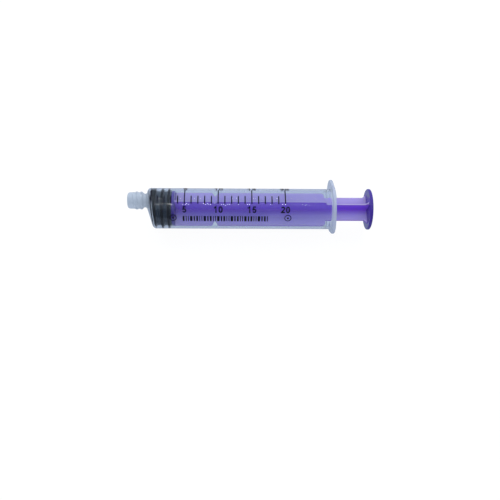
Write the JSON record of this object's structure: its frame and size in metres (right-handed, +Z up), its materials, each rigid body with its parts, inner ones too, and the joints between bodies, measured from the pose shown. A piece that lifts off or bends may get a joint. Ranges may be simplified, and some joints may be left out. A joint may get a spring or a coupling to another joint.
{
  "type": "oral syringe",
  "caption": "Translucent syringe barrel with an offset screw connector, finger flange and printed volume scale, black rubber stopper, and purple cross-ribbed plunger with a round thumb rest.",
  "frame": {"origin": "on the barrel's axis, at the zero graduation line", "axes": "+X along the barrel from the connector to the thumb rest, +Y towards the connector's side of the barrel and the longer flange wing, +Z up with the syringe lying on a table"},
  "size_m": [0.1279, 0.0314, 0.0248],
  "materials": {
    "barrel": "satin",
    "stopper": "satin",
    "plunger": "gloss",
    "ink": "matte"
  },
  "bodies": {
    "barrel": {"barrel": "barrel", "scale_print": "ink"},
    "stopper": {"stopper": "stopper"},
    "plunger": {"plunger": "plunger"}
  },
  "joints": [
    {"name": "stopper_slide", "type": "slide", "parent": "barrel", "child": "stopper", "axis": [1, 0, 0], "range_m": [0, 0.08]},
    {"name": "plunger_spin", "type": "hinge", "parent": "stopper", "child": "plunger", "pos_m": [0.0065, 0, 0], "axis": [1, 0, 0], "continuous": true}
  ]
}
